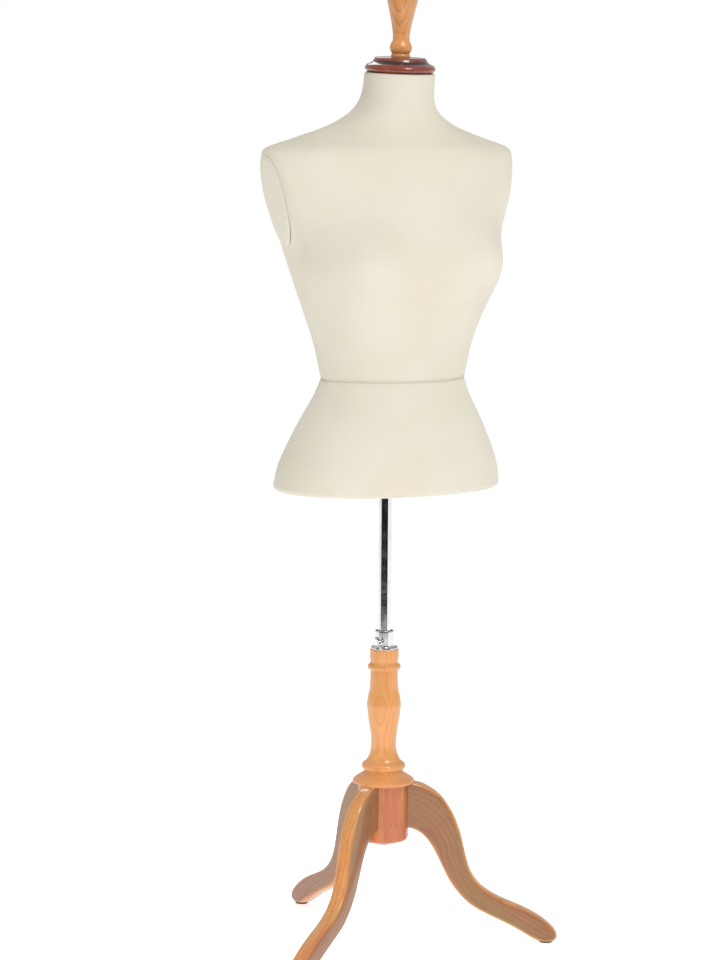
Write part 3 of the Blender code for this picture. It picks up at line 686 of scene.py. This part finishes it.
CLAMP = AXIS @ Matrix.Translation((0.0, 0.0, CLAMP_HEIGHT * MM)) @ CLAMP_TURN
WING_LEAN = math.radians(115.0)       # 90 is upright; the tightened wings lean 25 more
WING_HALF = [(21.5, 2.4), (23.2, 6.2), (26.4, 10.2), (30.6, 11.4), (33.4, 8.6), (31.8, 4.4),
             (29.6, 1.6)]
WING_THICKNESS = 3.0
WING_EDGE = 1.1
BOSS_PROFILE = [(0.0, 27.4), (2.6, 27.2), (3.7, 26.5), (4.2, 25.3), (4.2, 19.2), (3.8, 18.3),
                (3.2, 18.0), (0.0, 18.0)]
THREAD_PITCH = 0.8
THREAD_START = 23.0
THREAD_LENGTH = 10.6
THREAD_CREST = 2.95
THREAD_ROOT = 2.45
wing_outline = [(x, -y) for x, y in WING_HALF] + WING_HALF[::-1]
wing = piece("wing_thumb_screw",
             board("wing", wing_outline, WING_THICKNESS, WING_EDGE, fineness=10, roundness=4),
             CLAMP @ Matrix.Rotation(WING_LEAN, 4, "X"))
ALONG_SHANK = CLAMP @ Matrix.Rotation(math.radians(90.0), 4, "Y")
joined(wing, piece("boss", turned(BOSS_PROFILE, around=48), ALONG_SHANK), "UNION")
thread_line = [(0.0, 24.0)]
for k in range(int(THREAD_LENGTH / THREAD_PITCH)):
    height = THREAD_START - k * THREAD_PITCH
    thread_line += [(THREAD_CREST, height), (THREAD_ROOT, height - 0.5 * THREAD_PITCH)]
thread_line += [(2.3, 13.4), (2.0, 13.0), (0.0, 13.0)]
joined(wing, piece("shank", turned(thread_line, around=48), ALONG_SHANK), "UNION")
complete(wing, chrome, "clamp_screw", "chrome", "clamp_screw")

# ---------------------------------------------------------------- Pole
# A 20 mm steel tube, chromed and polished, its ends broken by a file and plugged with nylon.

POLE_PROFILE = [(8.6, 785.6), (9.0, 786.0), (9.6, 786.0), (10.0, 785.6), (10.0, 300.4),
                (9.6, 300.0), (9.0, 300.0), (8.6, 300.4)]
pole = piece("drawn_pole", turned(POLE_PROFILE, closed=True))
complete(pole, chrome, "pole", "chrome", "pole")

# ---------------------------------------------------------------- Base board and socket
# The torso stands on a flat board of bare pine ply. A steel socket with a flange is let into
# it and screwed up from below, and turns on the pole's top plug.

paint(pale, "base_board")
paint(zinc, "pole_socket")
SOCKET_SCREW_ANGLES = (45.0, 135.0, 225.0, 315.0)
for number, angle in enumerate(SOCKET_SCREW_ANGLES, start=1):
    slotted_screw(f"slotted_socket_screw_{number}", f"socket_screw_{number}", "torso",
                  reach=28.0, angle=angle, seat=700.1, head=(4.0, -2.0), shank=2.0, tip=713.0,
                  slot_turn=0.7 * number)

# ---------------------------------------------------------------- Shells and neck block
# Two shells of moulded fibre board, front and back, make the form's hard body under the
# jersey, and a block of pale wood closes the neck.

FIBRE_LIGHT = (0.50, 0.40, 0.28)
FIBRE_DARK = (0.30, 0.22, 0.14)
fibre = Finish("moulded_fibre_board")
flakes = fibre.cloudy(fibre.place(), 160.0, 6.0, 0.7)
fibre.set(Base_Color=fibre.mix(FIBRE_DARK, FIBRE_LIGHT, flakes.between(0.3, 0.7)),
          Roughness=0.7 + 0.2 * flakes)
fibre.relief(flakes, 0.5 * MM, 0.6)
paint(fibre, "shell_front", "shell_back")
paint(pale, "neck_block")

# ---------------------------------------------------------------- Jersey
# Cream cotton jersey pulled tight over the shells: a skirt turned under the base board, and a
# bodice sewn to it at the waist, closed by a seam down the back and rolled over at the neck.

AROUND = 168
NECK_TILT = math.radians(3.5)
NECK_BEND = (1215.0, 1315.0)          # heights between which the skin tilts over to the neck
ARM_TOP_X = 206.0
ARM_TOP_Z = 1200.0
ARM_LEAN = 0.26
ARM_THICKNESS = 3.5
ARM_FLAT = (1024.0, 1060.0)           # heights between which the side flattens for the arm plate
ARM_EASE = 8.0                        # mm over which that flat eases into the skin round it
BODY_CORE = 40.0                      # mm to either side of the middle that stay as they are
BUST_X = 90.0
BUST_Z = 1041.0
BUST_PUSH = 41.0
BUST_SPREAD = (70.0, 74.0)
BUST_ROUND = 1.6
BUST_FADE = 40.0                      # mm before the widest place over which the bust comes in
BUST_SPLAY = 0.34
BOARD_FOOT = 701.0                    # height of the jersey under the board
HEM_RADIUS = 8.0
HEM_INSETS = (26.0, 20.0, 14.0)       # rows of jersey turned under the board, from its edge in
WAIST = 868.0
JERSEY = 1.2
# height, half width, front, back, widest place, squareness (2 is an ellipse)
SKIRT_SECTIONS = [
    (709.5, 178.0, -128.0, 119.0, -3.0, 2.10),
    (730.0, 174.5, -127.5, 115.0, -5.0, 2.10),
    (753.0, 167.0, -125.0, 109.0, -8.0, 2.10),
    (798.0, 146.5, -118.0, 93.0, -13.0, 2.05),
    (842.0, 122.5, -110.0, 75.0, -17.0, 2.00),
    (WAIST, 112.0, -107.0, 66.0, -19.0, 2.00),
]
BODICE_SECTIONS = [
    (WAIST, 112.0, -107.0, 66.0, -19.0, 2.00),
    (922.0, 124.0, -112.0, 72.0, -18.0, 2.05),
    (967.0, 139.0, -117.0, 78.0, -16.0, 2.10),
    (1010.0, 152.0, -118.0, 85.0, -11.0, 2.20),
    (1045.0, 162.5, -117.0, 90.0, -6.0, 2.25),
    (1079.0, 173.0, -114.0, 93.0, -1.0, 2.25),
    (1110.0, 189.0, -108.0, 95.0, 2.0, 2.20),
    (1140.0, 204.0, -102.0, 92.0, 3.0, 2.10),
    (1168.0, 211.0, -95.0, 87.0, 3.0, 2.00),
    (1190.0, 212.0, -90.0, 80.0, 2.0, 1.85),
    (1207.0, 204.0, -86.0, 72.0, 0.0, 1.65),
    (1222.0, 160.0, -82.0, 63.0, -3.0, 1.50),
    (1237.0, 114.0, -79.0, 54.0, -8.0, 1.55),
    (1250.0, 85.0, -77.0, 45.0, -14.0, 1.75),
    (1263.0, 66.0, -76.0, 36.0, -20.0, 1.95),
    (1278.0, 56.0, -79.0, 28.0, -25.5, 2.00),
    (1296.0, 52.5, -83.0, 22.0, -30.5, 2.00),
    (1318.0, 52.0, -87.0, 18.0, -34.5, 2.00),
]
WALES = 640                           # knitted ribs round the form
COURSE = 1.15                         # mm between rows of stitches
SEAM_DEPTH = 0.22
SEAM_WIDTH = 5.5
PUCKER = 0.45
PUCKER_REACH = 15.0
PUCKER_WAVES = 26.0
PULL_WAVES = 3.0                      # the stitching pulls harder in some places than others
SEAM_LINE = 1.6                       # mm to either side of the waist over which the colour is darkened
BACK_SEAM = {0: 0.75, 1: 0.2, AROUND - 1: 0.2}       # shares of the dip round the middle back
BACK_LINE = 0.55

CREAM = (0.80, 0.745, 0.610)
CREAM_DEEP = (0.72, 0.655, 0.515)
CREAM_PALE = (0.83, 0.785, 0.665)
jersey = Finish("cream_cotton_jersey", Sheen_Weight=0.22, Sheen_Roughness=0.45,
                Specular_IOR_Level=0.25)
across, back_ward, up = jersey.parts(jersey.stored("knit"))
wale = across.maths("ARCTAN2", back_ward) * (WALES / (2.0 * math.pi))
spread = 2.0 * (wale.maths("FRACT") - 0.5).maths("ABSOLUTE")
course = (up / (COURSE * MM) + 0.5 * spread).maths("FRACT")
stitch = (course * math.pi).maths("SINE") * (1.0 - spread * spread)
soft = jersey.cloudy(jersey.place(), 7.0, 2.0)
slub = jersey.cloudy(jersey.stretched(jersey.stored("knit"), 6.0, 6.0, 90.0), 9.0, 3.0)
cloth = jersey.mix(CREAM, CREAM_PALE, soft.between(0.35, 0.65))
cloth = jersey.mix(cloth, CREAM_DEEP, slub.between(0.55, 0.8) * 0.35)
# Painted shade: the valleys between the knit's stitches are darkened in colour.
cloth = jersey.mix(cloth, CREAM_DEEP, (1.0 - stitch) * 0.28)
cloth = jersey.mix(cloth, tuple(0.62 * c for c in CREAM_DEEP), jersey.stored("seam", out=2) * 0.10)
jersey.set(Base_Color=cloth, Roughness=0.82 + 0.12 * soft)
jersey.relief(stitch, 0.22 * MM, 0.7)


def through(rows, t):
    """A smooth curve through the section table, t from 0 to 1."""
    last = len(rows) - 1
    place = min(max(t, 0.0), 1.0) * last
    i = min(int(place), last - 1)
    f = place - i

    def row(k):
        if k < 0:
            return [2.0 * a - b for a, b in zip(rows[0], rows[1])]
        if k > last:
            return [2.0 * a - b for a, b in zip(rows[last], rows[last - 1])]
        return rows[k]

    return [0.5 * (2 * b + (c - a) * f + (2 * a - 5 * b + 4 * c - d) * f * f
                   + (3 * b - a - 3 * c + d) * f ** 3)
            for a, b, c, d in zip(row(i - 1), row(i), row(i + 1), row(i + 2))]


def soft_min(a, b, reach):
    """The smaller of two values, the change from one to the other rounded over reach."""
    mix = min(max(0.5 + 0.5 * (b - a) / reach, 0.0), 1.0)
    return b * (1.0 - mix) + a * mix - reach * mix * (1.0 - mix)


def eased(value, low, high):
    """0 below low, 1 above high and smooth between them."""
    share = min(max((value - low) / (high - low), 0.0), 1.0)
    return share * share * (3.0 - 2.0 * share)


def skin_ring(section, inset=0.0, drop=0.0):
    """One ring of the torso's skin, anticlockwise from the middle of the back, in mm."""
    z, half, front, back, middle, square = section
    half -= inset
    front += inset
    back -= inset
    flat = eased(z, *ARM_FLAT)
    face = ARM_TOP_X - ARM_LEAN * (ARM_TOP_Z - z) - ARM_THICKNESS - GAP
    lean = eased(z, *NECK_BEND)
    ring = []
    for k in range(AROUND):
        a = 2.0 * math.pi * k / AROUND
        across = -math.sin(a)
        along = math.cos(a)
        x = half * math.copysign(abs(across) ** (2.0 / square), across)
        depth = back - middle if along > 0 else middle - front
        y = middle + depth * math.copysign(abs(along) ** (2.0 / square), along)
        for side in (-1.0, 1.0):
            near = (((x - side * BUST_X) / BUST_SPREAD[0]) ** 2
                    + ((z - BUST_Z) / BUST_SPREAD[1]) ** 2)
            forward = min(max((middle - y) / BUST_FADE, 0.0), 1.0)
            push = math.exp(-BUST_ROUND * near) * forward * BUST_PUSH
            x += side * push * BUST_SPLAY
            y -= push
        if flat and abs(x) > BODY_CORE:
            x += flat * (math.copysign(soft_min(abs(x), face, ARM_EASE), x) - x)
        ring.append(Vector((x, y, z - drop + (y - middle) * math.tan(NECK_TILT) * lean)))
    return ring


def waist_dip(ring, seed):
    """Sink the skin where the waist seam pulls it in, with small uneven puckers beside it."""
    centre = sum(ring, Vector()) / len(ring)
    dips = []
    for k, point in enumerate(ring):
        away = abs(point.z - WAIST)
        dip = SEAM_DEPTH * math.exp(-(away / SEAM_WIDTH) ** 2)
        turn = 2.0 * math.pi * k / AROUND
        strength = noise.noise(Vector((PULL_WAVES * math.cos(turn), PULL_WAVES * math.sin(turn),
                                       seed)))
        ripple = noise.noise(Vector((PUCKER_WAVES * math.cos(turn), PUCKER_WAVES * math.sin(turn),
                                     5.0)))
        dip += PUCKER * (0.6 + strength) * ripple * math.exp(-(away / PUCKER_REACH) ** 2)
        dip += SEAM_DEPTH * BACK_SEAM.get(k, 0.0)
        seam = math.exp(-(away / SEAM_LINE) ** 2) + (BACK_LINE if k == 0 else 0.0)
        inward = (centre - point).to_2d().normalized() * dip
        dips.append((point + inward.to_3d(), min(seam, 1.0)))
    return dips


def skin_over(shape, rows):
    """Quads between each closed row of points and the next."""
    around = len(rows[0])
    for lower, upper in zip(rows, rows[1:]):
        for k in range(around):
            n = (k + 1) % around
            shape.faces.new((lower[k], lower[n], upper[n], upper[k]))


def cloth_tube(name, rings, seed):
    """Jersey through the rings, its knit coordinates and seams stored, and given its thickness."""
    shape = bmesh.new()
    rows = []
    ways = []
    seams = []
    climb = 0.0
    previous = None
    for ring in rings:
        dipped = waist_dip(ring, seed)
        height = sum((point for point, _ in dipped), Vector()) / AROUND
        reach = sum((point - height).length for point, _ in dipped) / AROUND
        if previous:
            climb += math.hypot(height.z - previous[0], reach - previous[1])
        previous = (height.z, reach)
        rows.append([shape.verts.new(point * MM) for point, _ in dipped])
        seams += [seam for _, seam in dipped]
        ways += [(math.sin(2.0 * math.pi * k / AROUND), math.cos(2.0 * math.pi * k / AROUND),
                  climb * MM) for k in range(AROUND)]
    skin_over(shape, rows)
    made = piece(name, shape)
    store(made, "knit", ways)
    store(made, "seam", seams)
    thick = made.modifiers.new("thickness", "SOLIDIFY")
    thick.thickness = JERSEY * MM
    thick.offset = -1.0
    return made


SKIRT_ROWS = 52
HEM_STEPS = 10
hem = []
first = SKIRT_SECTIONS[0][1:]
for k in range(HEM_STEPS + 1):
    turn = math.radians(90.0) * k / HEM_STEPS
    hem.append(skin_ring((BOARD_FOOT + HEM_RADIUS * (1.0 - math.cos(turn)), *first),
                         HEM_RADIUS * (1.0 - math.sin(turn))))
under = [skin_ring((BOARD_FOOT, *first), inset) for inset in HEM_INSETS]
skirt_rings = [skin_ring(through(SKIRT_SECTIONS, k / SKIRT_ROWS)) for k in range(SKIRT_ROWS + 1)]
skirt = cloth_tube("jersey_skirt_cover", under + hem + skirt_rings[1:], seed=1.0)
complete(skirt, jersey, "torso", "jersey", "jersey_skirt", crease=60.0)

BODICE_ROWS = 150
NECK_EDGE = 2.6                       # mm below the neck's top at which the jersey rolls over
NECK_ROLL = [(0.5, 0.9), (1.6, 2.2), (2.9, 2.9)]     # inset and rise above that edge
bodice_rings = [skin_ring(through(BODICE_SECTIONS, k / BODICE_ROWS)) for k in range(BODICE_ROWS)]
neck_section = BODICE_SECTIONS[-1]
for inset, rise in NECK_ROLL:
    bodice_rings.append(skin_ring(neck_section, inset, drop=NECK_EDGE - rise))
bodice = cloth_tube("jersey_bodice_cover", bodice_rings, seed=2.0)
complete(bodice, jersey, "torso", "jersey", "jersey_bodice", crease=60.0)

# ---------------------------------------------------------------- Arm plates
# Oval boards that close the armholes, each with a thin pad and covered in the same jersey,
# glued to the flat of the shoulder.

ARM_HALF = (31.5, 69.0)
ARM_HEIGHT = 1131.0
ARM_RINGS = [(1.0, -1.75), (0.998, -1.2), (0.985, -0.45), (0.962, 0.25), (0.93, 0.8), (0.88, 1.2),
             (0.81, 1.45), (0.68, 1.6), (0.5, 1.69), (0.25, 1.74)]
ARM_AROUND = 96
RIB_WIDTH = 1.3
KNIT_TURN = 2.0 * math.pi / (WALES * RIB_WIDTH * MM)
QUARTER = math.radians(90.0)


def arm_plate(name, node, side):
    """A covered oval on one side of the form, side being 1 for its left and -1 for its right."""
    shape = bmesh.new()
    rings = [[shape.verts.new((ARM_HALF[0] * MM * share * math.cos(a),
                               ARM_HALF[1] * MM * share * math.sin(a), z * MM))
              for a in (2.0 * math.pi * k / ARM_AROUND for k in range(ARM_AROUND))]
             for share, z in ARM_RINGS]
    shape.faces.new(rings[0][::-1])
    skin_over(shape, rings)
    crown = shape.verts.new((0.0, 0.0, ARM_THICKNESS / 2.0 * MM))
    for k in range(ARM_AROUND):
        shape.faces.new((rings[-1][k], rings[-1][(k + 1) % ARM_AROUND], crown))
    ways = [(math.sin(point.co.x * KNIT_TURN), math.cos(point.co.x * KNIT_TURN), point.co.y)
            for point in shape.verts]
    lean = math.atan(ARM_LEAN)
    face = ARM_TOP_X - ARM_LEAN * (ARM_TOP_Z - ARM_HEIGHT)
    middle = face - ARM_THICKNESS / 2.0 / math.cos(lean)
    outward = Matrix.Rotation(QUARTER, 4, "Z") @ Matrix.Rotation(QUARTER, 4, "X")
    facing = Matrix.Rotation(0.0 if side > 0 else math.pi, 4, "Z")
    place = (AXIS @ Matrix.Translation((side * middle * MM, 0.0, ARM_HEIGHT * MM))
             @ Matrix.Rotation(side * lean, 4, "Y") @ facing @ outward)
    made = piece(name, shape, place)
    store(made, "knit", ways)
    complete(made, jersey, "torso", "jersey", node)


arm_plate("padded_arm_plate_left", "arm_plate_left", 1.0)
arm_plate("padded_arm_plate_right", "arm_plate_right", -1.0)

# ---------------------------------------------------------------- Cap and finial
# A mahogany-stained disc with a waisted edge closes the neck, and a turned honey finial, to
# lift the form by, screws down on it over a steel stud.

neck_top = neck_section[0]
neck_middle = neck_section[4]
NECK = (AXIS @ Matrix.Translation((0.0, neck_middle * MM, neck_top * MM))
        @ Matrix.Rotation(NECK_TILT, 4, "X"))
mahogany = wood("mahogany_varnished_wood", light=(0.24, 0.034, 0.012), dark=(0.07, 0.009, 0.005),
                streak=(0.34, 0.065, 0.022), flush=(0.26, 0.024, 0.012),
                ring_width=3.2, gloss=0.9, pith=(0.01, 0.05))
CAP_PROFILE = [
    (3.3, 22.5), (35.0, 22.5), (37.4, 21.7), (38.8, 19.4), (40.6, 16.2), (44.0, 13.8),
    (48.6, 11.8), (51.2, 9.0), (51.8, 6.2), (50.4, 2.9), (46.5, 0.9), (42.0, 0.5), (3.3, 0.5),
]
turned_piece("turned_cap", CAP_PROFILE, mahogany, "torso", "red_wood", "neck_cap", place=NECK,
             closed=True, apart=0.02)
FINIAL_FOOT = 22.5
FINIAL_PROFILE = [
    (0.0, 138.5), (4.2, 137.5), (7.4, 134.5), (8.6, 130.0), (7.9, 125.0), (5.8, 121.5),
    (5.2, 118.0), (7.6, 115.2), (13.0, 112.4), (19.0, 107.2), (22.4, 100.0), (23.3, 92.0),
    (22.2, 82.0), (19.6, 70.0), (16.9, 58.0), (14.2, 45.0), (12.8, 36.0), (12.3, 29.5),
    (12.9, 23.5), (15.2, 19.0), (16.4, 14.0), (15.2, 9.0), (12.6, 5.4), (14.0, 3.2), (14.0, 0.3),
    (3.3, 0.3), (3.3, 31.0), (0.0, 31.0),
]
turned_piece("turned_finial", [(r, z + FINIAL_FOOT) for r, z in FINIAL_PROFILE], honey, "torso",
             "turned_wood", "finial", place=NECK, apart=0.075)
